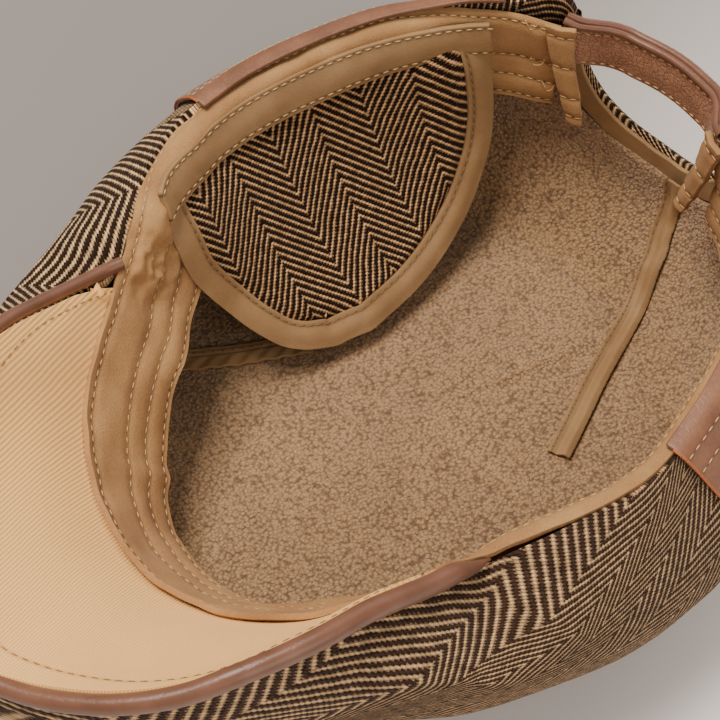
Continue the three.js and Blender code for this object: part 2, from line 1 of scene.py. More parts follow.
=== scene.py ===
# %% [markdown]
# # A tweed flap cap, lying on its crown
#
# The real cap is sewn from flat cloth: a tweed crown, a fleece lining, a cotton sweatband, a
# stiff peak and leather trim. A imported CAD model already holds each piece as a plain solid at
# its true size. This script dresses those solids: it reads each one's surface, lays a fine
# sheet over it, presses seams and wrinkles into the sheet, and gives it a woven or tanned finish.

# %% The fixed frame
import math
import bmesh
import bpy
import numpy as np
from mathutils import Matrix, Vector, noise


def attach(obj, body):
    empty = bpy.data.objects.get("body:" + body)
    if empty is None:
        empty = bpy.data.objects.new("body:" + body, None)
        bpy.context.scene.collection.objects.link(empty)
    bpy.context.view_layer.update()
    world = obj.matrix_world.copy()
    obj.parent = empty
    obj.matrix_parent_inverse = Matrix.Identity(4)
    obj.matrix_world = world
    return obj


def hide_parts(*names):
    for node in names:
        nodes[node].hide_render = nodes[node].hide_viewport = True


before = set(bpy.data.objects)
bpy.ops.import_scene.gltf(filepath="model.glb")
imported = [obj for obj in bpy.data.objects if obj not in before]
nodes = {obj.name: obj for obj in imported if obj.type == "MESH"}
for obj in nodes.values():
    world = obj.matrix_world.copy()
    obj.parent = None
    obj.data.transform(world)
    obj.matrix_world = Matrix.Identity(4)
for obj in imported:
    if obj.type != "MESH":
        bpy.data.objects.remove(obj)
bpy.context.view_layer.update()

MM = 0.001  # the frame is in metres, and cloth is easier to think of in millimetres
print("CAD pieces:", ", ".join(sorted(nodes)))

# %% [markdown]
# ## The camera
#
# The camera comes first, because everything else is judged through it. It stands over the
# right side of the cap and looks down into the head opening. A camera looks along its own -Z,
# so a tilt of 0 looks straight down, and the turn swings it round the vertical.

# %% Camera
CAMERA_PLACE = Vector((-197.5, -164.9, 407.3)) * MM
CAMERA_TILT = math.radians(34.57)
CAMERA_TURN = math.radians(-46.89)
CAMERA_LENS = 80  # millimetres, on a sensor 36 mm wide

camera = bpy.data.objects.new("camera", bpy.data.cameras.new("camera"))
camera.data.lens = CAMERA_LENS
camera.data.sensor_width = 36
camera.location = CAMERA_PLACE
camera.rotation_euler = (CAMERA_TILT, 0, CAMERA_TURN)
bpy.context.scene.collection.objects.link(camera)
bpy.context.scene.camera = camera
print("camera at", [round(x, 3) for x in CAMERA_PLACE])

# %% [markdown]
# ## Floor and light
#
# A sheet of grey paper under the cap with a painted light falloff, so it is paler towards the
# right side, one large soft light high over the left side, a weaker one low over the right side,
# and a dim grey sky. Large lights give the soft shadows in which cloth shows its folds.

# %% Colours, and one helper for shader nodes
def linear(code):
    """A colour written as sRGB hex, as the linear values that Blender's sockets take."""
    values = [int(code[i:i + 2], 16) / 255 for i in (1, 3, 5)]
    return (*[v / 12.92 if v < 0.04045 else ((v + 0.055) / 1.055) ** 2.4 for v in values], 1)


def add(tree, kind, *values, named={}, **settings):
    """Adds a shader node and returns its first output. Values fill its inputs in order, and
    named ones by name: a socket is linked, None is left alone, and anything else is set."""
    node = tree.nodes.new("ShaderNode" + kind)
    for name, value in settings.items():
        setattr(node, name, value)
    for key, value in [*enumerate(values), *named.items()]:
        if isinstance(value, bpy.types.NodeSocket):
            tree.links.new(value, node.inputs[key])
        elif value is not None:
            node.inputs[key].default_value = value
    return node.outputs[0] if node.outputs else node


def new_material(name):
    """An empty node material and its tree."""
    material = bpy.data.materials.new(name)
    material.use_nodes = True
    material.node_tree.nodes.clear()
    return material, material.node_tree


def finish_material(material, tree, colour, height, depth, **sockets):
    """Ends a material: colour, a bump of that depth in millimetres, and the shader's sockets."""
    bump = add(tree, "Bump", 1.0, depth * MM, named={"Height": height}) if height else None
    named = {key.replace("_", " "): value for key, value in sockets.items()}
    named.update({"Base Color": colour, "Normal": bump})
    shader = add(tree, "BsdfPrincipled", named=named)
    add(tree, "OutputMaterial", shader)
    return material


# %% Floor, lights and sky
FLOOR_SIZE = 3.0
LIGHT_FALLOFF_SPAN = (0.14, -0.16)  # metres across the floor over which a painted light falloff goes from grey at the left side to pale at the right
SKY_LIGHT = 0.38

bm = bmesh.new()
bmesh.ops.create_grid(bm, x_segments=1, y_segments=1, size=FLOOR_SIZE)
floor_mesh = bpy.data.meshes.new("floor")
bm.to_mesh(floor_mesh)
bm.free()
floor = bpy.data.objects.new("floor", floor_mesh)
bpy.context.scene.collection.objects.link(floor)
paper, tree = new_material("matt paper")
place = add(tree, "SeparateXYZ", add(tree, "TexCoord").node.outputs["Object"])
# Painted light falloff: the paper's colour goes from grey to pale across the floor, standing in
# for how the light falls on it.
painted_light_falloff = add(tree, "MapRange", place.node.outputs["Y"], *LIGHT_FALLOFF_SPAN, interpolation_type="SMOOTHSTEP")
shade = add(tree, "MixRGB", painted_light_falloff, linear("#847e7a"), linear("#f6efe9"))
finish_material(paper, tree, shade, None, 0, Roughness=0.8)
floor_mesh.materials.append(paper)

for name, place, size, power, tint in (  # places and sizes in metres, powers in watts
    ("key light", (-0.2, 0.4, 1.25), 0.6, 25, "#fff6ec"),
    ("right light", (-0.35, -1.0, 0.75), 0.9, 7.5, "#fffaf4"),
    ("back light", (0.9, 0.1, 0.8), 0.9, 4, "#fff8f0"),
):
    lamp = bpy.data.lights.new(name, "AREA")
    lamp.size = size
    lamp.energy = power
    lamp.color = linear(tint)[:3]
    light = bpy.data.objects.new(name, lamp)
    light.location = place
    light.rotation_euler = (-Vector(place)).to_track_quat("-Z", "Y").to_euler()
    bpy.context.scene.collection.objects.link(light)

sky = bpy.data.worlds.new("studio")
sky.use_nodes = True
sky.node_tree.nodes["Background"].inputs["Color"].default_value = linear("#dcdad8")
sky.node_tree.nodes["Background"].inputs["Strength"].default_value = SKY_LIGHT
bpy.context.scene.world = sky
print("floor, three lights and a sky")

# %% [markdown]
# ## Reading a CAD sheet
#
# Each cloth piece in the CAD model is a sheet with a front and a back, cut into triangles.
# Its front was made as rows and columns of corners. To work on it as cloth, those rows and
# columns are needed again, so the next cell walks over the triangles: away from a corner
# along an edge, and at each crossing of six edges straight on, three edges further round.

# %% Walking over a CAD sheet
SHARP = math.radians(50)  # faces that meet at more than this belong to different sides
HUB = 12  # a corner with more edges than this is the middle of a round panel


def side_patch(node, inside):
    """A bmesh of one side of a CAD sheet: the one that looks into the cap, or the outer one."""
    bm = bmesh.new()
    bm.from_mesh(nodes[node].data)
    bmesh.ops.remove_doubles(bm, verts=bm.verts, dist=0.002 * MM)
    bm.normal_update()
    waiting, sides = set(bm.faces), []
    while waiting:
        stack = [waiting.pop()]
        side = list(stack)
        while stack:
            for edge in stack.pop().edges:
                if edge.calc_face_angle() < SHARP:
                    fresh = [f for f in edge.link_faces if f in waiting]
                    waiting.difference_update(fresh)
                    stack += fresh
                    side += fresh
        sides.append(side)

    def looks_in(side):
        total = 0
        for f in side:
            centre = f.calc_center_median()
            inward = -centre.xy.to_3d().normalized() + Vector((0, 0, 1))
            total += f.calc_area() * f.normal.dot(inward)
        return total

    two = sorted(sides, key=lambda side: -sum(f.calc_area() for f in side))[:2]
    keep = set(max(two, key=looks_in) if inside else min(two, key=looks_in))
    hubs = [v for v in bm.verts if len(v.link_edges) > HUB]
    middle = [v.co.copy() for v in hubs if v.link_faces[0] in keep]
    keep.difference_update(f for v in hubs for f in v.link_faces)
    bmesh.ops.delete(bm, geom=[f for f in bm.faces if f not in keep], context="FACES")
    return bm, middle


def straight_on(vertex, edge):
    """The edge opposite to this one at a crossing of six."""
    face = edge.link_faces[0]
    for _ in range(3):
        edge = next(e for e in face.edges if e != edge and vertex in e.verts)
        face = next(f for f in edge.link_faces if f != face)
    return edge


def walk(vertex, edge):
    """The corners from a vertex along an edge to the patch's border, or along the border."""
    line = [vertex]
    on_border = edge.is_boundary
    while True:
        vertex = edge.other_vert(vertex)
        if vertex == line[0]:
            return line
        line.append(vertex)
        if on_border:
            if len(vertex.link_faces) < 3:
                return line
            edge = next(e for e in vertex.link_edges if e.is_boundary and e != edge)
        elif vertex.is_boundary:
            return line
        else:
            edge = straight_on(vertex, edge)


def shares_face(a, b):
    """Whether two edges are sides of the same face."""
    return bool(set(a.link_faces) & set(b.link_faces))


def rows_of(node, corner, along, inside=True):
    """The corners of a CAD sheet's side as an array [column, row, xyz], whose last column is the
    first one again on a ring. The first row starts at the border corner furthest towards one
    direction, and runs along another."""
    bm, middle = side_patch(node, inside)
    border = [v for v in bm.verts if v.is_boundary]
    corners = [v for v in border if len(v.link_faces) < 3]
    ring = not corners
    start = max(corners or border, key=lambda v: v.co.dot(Vector(corner)))
    ahead = [e for e in start.link_edges if e.is_boundary]
    first = max(ahead, key=lambda e: (e.other_vert(start).co - start.co).dot(Vector(along)))
    top = walk(start, first)
    columns = []
    for i, vertex in enumerate(top):
        back = top[i - 1]
        forward = top[(i + 1) % len(top)]
        between = [e for e in vertex.link_edges if e.other_vert(vertex) not in (back, forward)]
        if ring:
            polar = vertex.co.xy.to_3d().normalized()
            side = Vector((-polar.y, polar.x, 0))
            down = min(between, key=lambda e: abs(e.other_vert(vertex).co.dot(side)))
        elif vertex in corners:
            down = next(e for e in between if e.is_boundary)
        else:
            beside = back if len(start.link_faces) == 2 else forward
            row_edge = next(e for e in vertex.link_edges if e.other_vert(vertex) == beside)
            down = next(e for e in between if shares_face(e, row_edge))
        columns.append([v.co.copy() for v in walk(vertex, down)])
    if ring:
        columns.append(columns[0])
    if middle:
        columns = [column + middle for column in columns]
    grid = np.array([[corner[:] for corner in column] for column in columns]) / MM
    bm.free()
    print(f"{node}: {grid.shape[0]} columns of {grid.shape[1]} corners", "in a ring" * ring)
    return settled(grid)


# %% How the worn rim has settled
RIM_OVAL = (138, 80)  # mm: half the rim's length and width
RIM_LOW, RIM_INSIDE = 48, 24  # mm: cloth lower than one, or further inside than the other, stays
RIM_TURNS = (-168, -158, -150, -144, -132, -127, -121, -112, -104, -92, -30, 20, 40, 60, 88,
             100, 108, 116, 126, 135)
RIM_OUT = (0, 0.6, -1.2, -2.6, -2.4, -0.4, 2.4, 3.2, 1.6, 0.6, 1.5, 0, -1.5, -0.5, 1.6,
           3.4, 3.6, 1.8, 0.6, 0)  # mm outwards at each turn round the cap, in degrees
RIM_UP = (0, -0.4, 2.0, 4.4, 4.4, 1.4, 0, 0, 0, 0, 0, 0, -0.8, 0, 0, 0, 0, 0, 0, 0)


def settled(places):
    """Places near the rim moved as wear has moved them, by up to 5 mm. The further a place is
    below the rim or inside it, the less it moves."""
    turn = np.degrees(np.arctan2(places[..., 1], places[..., 0]))
    high = np.clip((places[..., 2] - RIM_LOW) / 24, 0, 1)
    radius = np.hypot(places[..., 0], places[..., 1])
    long, wide = RIM_OVAL
    oval = 1 / np.hypot(np.cos(np.radians(turn)) / long, np.sin(np.radians(turn)) / wide)
    share = high * np.clip((radius - oval + RIM_INSIDE) / 16, 0, 1)
    out = places * (1, 1, 0) / np.maximum(radius, 1)[..., None]
    out *= np.interp(turn, RIM_TURNS, RIM_OUT)[..., None]
    out[..., 2] = np.interp(turn, RIM_TURNS, RIM_UP)
    return places + out * share[..., None]


# %% [markdown]
# ## Sheets of cloth
#
# Between the CAD corners the real cloth curves smoothly, so a curve is drawn through each row
# and column, and the sheet is cut into small even cells. Every place on it knows how far it is
# across and down the cloth in millimetres: a weave, a stitch row and a fold all use that.

# %% A fine sheet over a CAD one
def curve(knots, values, at):
    """A smooth curve through values at their knots, read at other places along it."""
    slopes = np.gradient(values, knots, axis=0)
    i = np.clip(np.searchsorted(knots, at, side="right") - 1, 0, len(knots) - 2)
    step = (knots[i + 1] - knots[i]).reshape(-1, 1, 1)
    t = (at - knots[i]).reshape(-1, 1, 1) / step
    start, end = values[i], values[i + 1]
    blend = 3 * t ** 2 - 2 * t ** 3
    leaving, arriving = t * (1 - t) ** 2, t ** 2 * (1 - t)
    return start + (end - start) * blend + step * (slopes[i] * leaving - slopes[i + 1] * arriving)


def fine(grid, ring, across, down):
    """The grid again in cells of about that many millimetres across and down."""
    for cell, closed in ((across, ring), (down, False)):
        steps = np.linalg.norm(np.diff(grid, axis=0), axis=2).mean(axis=1)
        knots = np.concatenate([[0], np.cumsum(steps)])
        at = np.linspace(0, knots[-1], max(2, round(knots[-1] / cell)) + 1)
        if closed:
            length = knots[-1]
            grid = np.concatenate([grid[-4:-1], grid, grid[1:4]])
            knots = np.concatenate([knots[-4:-1] - length, knots, knots[1:4] + length])
        grid = curve(knots, grid, at).swapaxes(0, 1)
    return grid


def lengths(places):
    """How far along the first axis each place lies, row by row."""
    steps = np.linalg.norm(np.diff(places, axis=0), axis=2)
    return np.concatenate([np.zeros((1, places.shape[1])), np.cumsum(steps, axis=0)])


def unit(vectors):
    """The vectors, each one long."""
    return vectors / np.maximum(np.linalg.norm(vectors, axis=-1, keepdims=True), 1e-9)


STITCH = 3.0  # millimetres from needle hole to needle hole
FLOOR_GAP = 0.2  # mm: no cloth dips lower
NO_SEAM = 50.0  # mm: further from a seam than any of its marks


class Sheet:
    """A fine sheet: its places in mm, and how far each is across and down it."""

    def __init__(self, grid, inside=True, across=1.0, down=1.0):
        self.ring = np.allclose(grid[0], grid[-1])
        self.places = fine(grid, self.ring, across, down)
        self.places[..., 2] = np.maximum(self.places[..., 2], FLOOR_GAP)
        self.inside = inside
        self.measure()

    def measure(self):
        """Works out distances and normals again, after the places have changed."""
        self.across = lengths(self.places)
        self.down = lengths(self.places.swapaxes(0, 1)).T
        wide = np.gradient(self.places, axis=0)
        if self.ring:
            wide[0] = wide[-1] = (self.places[1] - self.places[-2]) / 2
        normals = unit(np.cross(wide, np.gradient(self.places, axis=1)))
        inward = unit(self.places * (-1, -1, 0)) + (0, 0, 1)
        self.turned = (np.sum(normals * inward) > 0) != self.inside
        self.normals = -normals if self.turned else normals

    def press(self, height):
        """Moves each place out along its normal by a height in mm."""
        self.places = self.places + self.normals * height[..., None]
        self.measure()

    def from_edge(self, whole, place):
        """A place as mm from the first edge: it is given so, or as mm from the last edge when
        it is negative, or as a share of the whole when it is under 1."""
        place = np.asarray(place, dtype=float)
        share = (place > 0) & (place < 1)
        return np.where(share, whole * place, np.where(place < 0, whole + place, place))

    def seam(self, rows):
        """For each place, the number of stitches along the nearest seam, and mm away from it."""
        near = np.full(self.across.shape, NO_SEAM)
        count = np.zeros(near.shape)
        for row in rows:
            away = np.abs(self.down - self.from_edge(self.down[:, -1:], row))
            count = np.where(away < near, self.across / STITCH, count)
            near = np.minimum(near, away)
        return count, near

    def line(self, row):
        """The places and normals along a row, at its distance from an edge."""
        found = []
        wanted = np.broadcast_to(np.ravel(row), len(self.down))
        for d, p, n, w in zip(self.down, self.places, self.normals, wanted):
            at = np.interp(self.from_edge(d[-1], w), d, np.arange(len(d)))
            i = min(int(at), len(d) - 2)
            t = at - i
            found.append((p[i] * (1 - t) + p[i + 1] * t, n[i] * (1 - t) + n[i + 1] * t))
        return np.array([f[0] for f in found]), unit(np.array([f[1] for f in found]))


def ripple(places, size, seed, detail=1):
    """Smooth noise of about -1 to 1 at each place, with waves of that many millimetres."""
    flat = (places / size + (seed, 0, 0)).reshape(-1, 3)
    values = [noise.fractal(p, 1.0, 2.0, detail) for p in flat]
    return np.array(values).reshape(places.shape[:-1])


def bell(distance, width):
    """1 where the distance is 0, falling smoothly to nothing beyond about twice the width."""
    return np.exp(-((distance / width) ** 2))


def groove(near, width, depth):
    """A soft groove along a seam, as heights in mm."""
    return -depth * bell(near, width)


def area_of(sheet):
    """The sheet's area in square metres."""
    wide, deep = np.diff(sheet.places, axis=0)[:, :-1], np.diff(sheet.places, axis=1)[:-1]
    return float(np.linalg.norm(np.cross(wide, deep), axis=-1).sum() * MM * MM)


def around(places, middle, width):
    """A bell of that width in mm round a point."""
    return bell(np.linalg.norm(places - middle, axis=-1), width)


def degrees(places):
    """The angle of each place round the cap: 0 at the back, 90 at the left side."""
    return np.degrees(np.arctan2(places[..., 1], places[..., 0]))


def outward(places):
    """The level direction away from the middle of the cap."""
    return unit(places * (1, 1, 0))


def evened(grid):
    """The grid with each column's corners at the same shares of its length as the others'."""
    spans = lengths(grid.swapaxes(0, 1)).T
    shares = (spans / spans[:, -1:]).mean(axis=0)
    return np.array([[np.interp(shares * span[-1], span, column[:, k]) for k in range(3)]
                     for span, column in zip(spans, grid)]).swapaxes(1, 2)


def grown(grid, first=0.0, last=0.0, left=0.0, right=0.0):
    """A copy of the grid with its border rows and columns moved out by that many mm."""
    grid = grid.copy()
    for line, inner, out in ((grid[:, 0], grid[:, 1], first), (grid[:, -1], grid[:, -2], last),
                             (grid[0], grid[1], left), (grid[-1], grid[-2], right)):
        line += unit(line - inner) * out
    return grid


# %% From a sheet to a piece of the cap
def wear(piece, material, slot, *replaced):
    """Gives a piece its finish, its place on the cap and the CAD pieces that it stands for."""
    piece.data.materials.append(material)
    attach(piece, "root")
    if replaced:
        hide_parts(*replaced)
    return piece


def lay(sheet, name, wall=0, edge=0, seam=None, cloth=None):
    """Makes the sheet a piece of cloth with a wall and rounded edges, in mm. Its cloth map is
    how far each place is across and down, unless another is given; its seam map counts
    stitches along the nearest seam, and the mm to it."""
    n, m = sheet.places.shape[:2]
    bm = bmesh.new()
    cloth_map, seam_map = (bm.loops.layers.uv.new(title) for title in ("cloth", "seam"))
    bmesh.ops.create_grid(bm, x_segments=n - 1, y_segments=m - 1, size=1)
    bm.verts.index_update()
    for vertex, place in zip(bm.verts, sheet.places.swapaxes(0, 1).reshape(-1, 3)):
        vertex.co = place * MM
    if cloth is None:
        cloth = (np.broadcast_to(sheet.across[:, m // 2, None], (n, m)), sheet.down)
    cloth = np.stack(cloth, axis=2).swapaxes(0, 1).reshape(-1, 2) * MM
    count, near = seam or (np.zeros((n, m)), np.full((n, m), NO_SEAM))
    stitched = np.stack([count, near], axis=2).swapaxes(0, 1).reshape(-1, 2)
    for face in bm.faces:
        for loop in face.loops:
            loop[cloth_map].uv = cloth[loop.vert.index]
            loop[seam_map].uv = stitched[loop.vert.index]
    if sheet.turned:
        bmesh.ops.reverse_faces(bm, faces=bm.faces[:])
    if sheet.ring or not wall:
        bmesh.ops.remove_doubles(bm, verts=bm.verts, dist=0.01 * MM)
    mesh = bpy.data.meshes.new(name)
    bm.to_mesh(mesh)
    bm.free()
    mesh.shade_smooth()
    piece = bpy.data.objects.new(name, mesh)
    bpy.context.scene.collection.objects.link(piece)
    if wall:
        walls = piece.modifiers.new("wall", "SOLIDIFY")
        walls.thickness = wall * MM
        walls.offset = -1
    if edge:
        rounded = piece.modifiers.new("rounded edge", "BEVEL")
        rounded.width = edge * MM
        rounded.segments = 3
        rounded.limit_method = "ANGLE"
        rounded.angle_limit = SHARP
    print(f"{name}: {n} x {m} cells, {sheet.across.max():.0f} x {sheet.down.max():.0f} mm")
    return piece


def cord(path, radius):
    """A round cord as a sheet rolled up round a path in mm, with a radius for each place or
    for all of them."""
    ahead = unit(np.gradient(path, axis=0))
    aside = unit(np.cross(ahead, (0, 0, 1)))
    above = np.cross(aside, ahead)
    turn = np.linspace(0, 2 * np.pi, 13)[:, None]
    rings = [p + r * (np.cos(turn) * a + np.sin(turn) * b)
             for p, r, a, b in zip(path, np.broadcast_to(radius, len(path)), aside, above)]
    rolled = Sheet(np.array(rings), across=1.0, down=0.5)
    out = rolled.places - rolled.places.mean(axis=1, keepdims=True)
    if np.sum(rolled.normals * out) < 0:
        rolled.normals = -rolled.normals
        rolled.turned = not rolled.turned
    return rolled


def smoothed(path, count):
    """That many even places along a smooth curve through a path."""
    knots = lengths(path[:, None])[:, 0]
    at = np.linspace(0, knots[-1], count)
    return curve(knots, path[:, None], at)[:, 0]


# %% [markdown]
# ## Stitches
#
# A machine stitch is a short thread lying on the cloth, pulled down at both ends. Each one is
# a small ball drawn out along the seam, with thirty faces: there are over a thousand of them,
# and together they are joined into one piece for each seam.

# %% Stitches
LIFT = 0.08  # mm from the cloth to the middle of the thread


def stitch(name, lines, material, thread=0.17, share=0.66):
    """Stitches along each line of places and normals, as one piece. The thread has a radius in
    mm, and the share is how much of the way from hole to hole each stitch fills."""
    bm = bmesh.new()
    for places, normals in lines:
        along = lengths(places[:, None])[:, 0]
        for at in np.arange(STITCH / 2, along[-1], STITCH):
            here, ahead, behind = (
                Vector([np.interp(at + step, along, places[:, k]) for k in range(3)])
                for step in (0, 1, -1)
            )
            up = Vector([np.interp(at, along, normals[:, k]) for k in range(3)]).normalized()
            forward = (ahead - behind).normalized()
            side = up.cross(forward).normalized()
            turn = Matrix((forward, side, up)).transposed().to_4x4()
            size = Matrix.Diagonal((share * STITCH / 2, thread, thread, 1))
            place = Matrix.Translation((here + up * LIFT) * MM)
            matrix = place @ Matrix.Scale(MM, 4) @ turn @ size
            bmesh.ops.create_uvsphere(bm, u_segments=6, v_segments=5, radius=1, matrix=matrix)
    mesh = bpy.data.meshes.new(name)
    bm.to_mesh(mesh)
    print(f"{name}: {len(bm.faces) // 30} stitches")
    bm.free()
    mesh.shade_smooth()
    piece = bpy.data.objects.new(name, mesh)
    bpy.context.scene.collection.objects.link(piece)
    piece.data.materials.append(material)
    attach(piece, "root")
    return piece


def sewn(sheet, name, made_of, walls, rows, yarn, *finish, **sewing):
    """A sheet laid, worn and stitched along its rows: the piece and its stitches."""
    piece = lay(sheet, name + made_of, *walls, seam=sheet.seam(rows))
    wear(piece, *finish)
    return piece, stitch(name + "_stitches", [sheet.line(r) for r in rows], yarn, **sewing)


# %% [markdown]
# ## Finishes
#
# Every finish reads real distances: the cloth map is in metres, so a yarn of 1.3 mm is drawn
# 1.3 mm wide on any piece. A texture's scale is its number of cells or lumps to the metre, so
# that 1000 makes them a millimetre wide. The seam map says how far the nearest seam is, so the
# same few nodes paint shade into the needle holes and the pressed groove of every seam on the cap.

# %% Needle holes and grooves
HOLE = 0.42  # radius of the dent and its painted shade round a needle hole, in millimetres


def seam_marks(tree):
    """Two masks from the seam map, for the painted shade of a seam: the needle holes, and the
    groove between them.
    """
    seam = add(tree, "SeparateXYZ", add(tree, "UVMap", uv_map="seam"))
    away = seam.node.outputs["Y"]
    from_hole = add(tree, "Math", seam, 0.5, operation="PINGPONG")
    from_hole = add(tree, "Math", from_hole, STITCH, operation="MULTIPLY")
    flat = add(tree, "CombineXYZ", from_hole, away)
    distance = add(tree, "VectorMath", flat, operation="LENGTH").node.outputs["Value"]
    holes = add(tree, "MapRange", distance, 0.1, HOLE, 1.0, 0.0, interpolation_type="SMOOTHSTEP")
    groove_shade = add(tree, "MapRange", away, 0.2, 1.1, 1.0, 0.0, interpolation_type="SMOOTHSTEP")
    return holes, groove_shade


def shaded(tree, colour, mask, low, high, least, most):
    """The colour, times a shade that goes from least to most as the mask goes from low to high."""
    shade = add(tree, "MapRange", mask, low, high, least, most)
    return add(tree, "MixRGB", 1.0, colour, shade, blend_type="MULTIPLY")


def darken(tree, colour, mask, share):
    """The colour, darker by that share where the mask is 1."""
    return shaded(tree, colour, mask, 0.0, 1.0, 1.0, 1.0 - share)


# %% [markdown]
# **Tweed.** Wool yarn, near black and cream in turn, woven as a herringbone: diagonal lines
# whose slope turns at each column. A zigzag taken from the distance down the cloth gives the
# diagonal. Each cream line is a row of slanted yarn floats, like pearls on a string, so its
# edges are ragged and it stands up from the dark ground.

# %% Tweed
BEADED, SLUBBED = 0.42, 0.3  # how much the floats, and the uneven yarn, wave a line's edges


def tweed(name, column, pitch, cream, brown, share, pearl):
    """Herringbone with columns of those mm, cream lines that far apart down a column, which
    fill that share of it, and a pearl for each yarn float along a line."""
    material, tree = new_material(name)
    place = add(tree, "UVMap", uv_map="cloth")
    wobble = add(tree, "TexNoise", place, named={"Scale": 90.0, "Detail": 2.0})
    fuzz = add(tree, "TexNoise", place, named={"Scale": 3200.0, "Detail": 2.0})
    slub = add(tree, "TexNoise", place, named={"Scale": 520.0, "Detail": 1.0})
    split = add(tree, "SeparateXYZ", place)
    across = add(tree, "Math", split, 1 / MM, wobble, operation="MULTIPLY_ADD")
    down = add(tree, "Math", split.node.outputs["Y"], 1 / MM, wobble, operation="MULTIPLY_ADD")
    zigzag = add(tree, "Math", across, column, operation="PINGPONG")
    diagonal = add(tree, "Math", down, zigzag, operation="SUBTRACT")
    diagonal = add(tree, "Math", diagonal, 1 / pitch, operation="MULTIPLY")
    along = add(tree, "Math", down, zigzag, operation="ADD")
    along = add(tree, "Math", along, 0.7071 / pearl, operation="MULTIPLY")
    along = add(tree, "Math", diagonal, 0.9, along, operation="MULTIPLY_ADD")
    line = add(tree, "Math", diagonal, 0.5, operation="PINGPONG")
    bead = add(tree, "Math", along, 0.5, operation="PINGPONG")
    knot = add(tree, "CombineXYZ", add(tree, "Math", along, operation="FLOOR"),
               add(tree, "Math", diagonal, operation="FLOOR"))
    knot = add(tree, "TexWhiteNoise", knot)
    ragged = add(tree, "Math", bead, BEADED, line, operation="MULTIPLY_ADD")
    ragged = add(tree, "Math", slub, SLUBBED, ragged, operation="MULTIPLY_ADD")
    edge = 0.5 - share / 2 + BEADED / 4 + SLUBBED / 2
    light = add(tree, "MapRange", ragged, edge - 0.03, edge + 0.03,
                interpolation_type="SMOOTHSTEP")
    crest = add(tree, "Math", line, 0.26, operation="SUBTRACT")
    crest = add(tree, "Math", crest, operation="ABSOLUTE")
    crest = add(tree, "MapRange", crest, 0.0, 0.2, interpolation_type="SMOOTHSTEP")
    pearls = add(tree, "MapRange", bead, 0.0, 0.32, interpolation_type="SMOOTHSTEP")
    height = add(tree, "Math", pearls, 0.6, 0.4, operation="MULTIPLY_ADD")
    height = add(tree, "Math", height, crest, operation="MULTIPLY")
    lifted = add(tree, "MapRange", light, 0.0, 1.0, 0.55, 1.0)
    height = add(tree, "Math", height, lifted, operation="MULTIPLY")
    height = add(tree, "Math", fuzz, 0.3, height, operation="MULTIPLY_ADD")
    colour = add(tree, "MixRGB", light, linear(brown), linear(cream))
    # Painted shade in the dents between the yarn floats, and a painted highlight on their raised
    # crests.
    colour = shaded(tree, colour, height, 0.12, 0.95, 0.35, 1.1)
    colour = shaded(tree, colour, knot, 0.0, 1.0, 0.62, 1.2)
    # Painted shade in the needle holes.
    colour = darken(tree, colour, seam_marks(tree)[0], 0.6)
    return finish_material(
        material, tree, colour, height, 0.6,
        Roughness=0.92, Sheen_Weight=0.04, Sheen_Roughness=0.5, Specular_IOR_Level=0.12,
    )


RIGHT_COLUMN = 19.2
right_tweed = tweed(
    "wool tweed, right half", RIGHT_COLUMN, 4.1, "#cda67a", "#463024", 0.47, 1.15)
left_tweed = tweed("wool tweed, left half", 24, 3.9, "#e8bd8b", "#33200f", 0.43, 1.2)
flap_tweed = tweed("wool tweed, ear flaps", 18.2, 3.2, "#d8aa78", "#2b180b", 0.45, 1.1)

# %% [markdown]
# **Fleece.** A knitted pile that is brushed and tumbled until it curls. At arm's length it is
# a field of little curls about 1 mm across with soft dents between them. Cells from a
# Voronoi texture make the curls, once a noise has bent them out of round.

# %% Fleece
def fleece():
    """Curled pile, with painted light where a curl stands up and painted shade in the dents
    between curls.
    """
    material, tree = new_material("tumbled fleece")
    place = add(tree, "TexCoord").node.outputs["Object"]
    bend = add(tree, "TexNoise", place, named={"Scale": 700.0, "Detail": 2.0})
    bend = bend.node.outputs["Color"]
    bent = add(tree, "VectorMath", bend, (0.0009,) * 3, place, operation="MULTIPLY_ADD")
    curls = add(tree, "TexVoronoi", bent, named={"Scale": 980.0})
    strands = add(tree, "TexNoise", bent, named={"Scale": 2300.0, "Detail": 2.0})
    lumps = add(tree, "TexNoise", place, named={"Scale": 170.0, "Detail": 2.0})
    worn = add(tree, "TexNoise", place, named={"Scale": 26.0, "Detail": 2.0})
    height = add(tree, "MapRange", curls, 0.0, 0.85, 1.0, 0.0)
    height = add(tree, "Math", strands, 0.8, height, operation="MULTIPLY_ADD")
    height = add(tree, "Math", lumps, 0.3, height, operation="MULTIPLY_ADD")
    # Painted light and shade from the curls' relief: the colour is light where a curl stands up
    # and dark in the dents.
    mask = add(tree, "MapRange", height, 0.5, 1.3)
    colour = add(tree, "MixRGB", mask, linear("#64482f"), linear("#b08b61"))
    colour = shaded(tree, colour, worn, 0.3, 0.7, 0.9, 1.06)
    return finish_material(
        material, tree, colour, height, 0.6,
        Roughness=0.95, Sheen_Weight=0.25, Sheen_Roughness=0.6, Specular_IOR_Level=0.12,
    )


fleece_pile = fleece()

# %% [markdown]
# **Cottons.** The sweatband is brushed cotton, matt like suede. The bindings and tapes are a
# smoother coated cotton with a soft gloss. Both have a grain finer than can show here, drawn
# at 0.5 and 0.35 mm so that it does, and faint clouds where the cloth was handled.

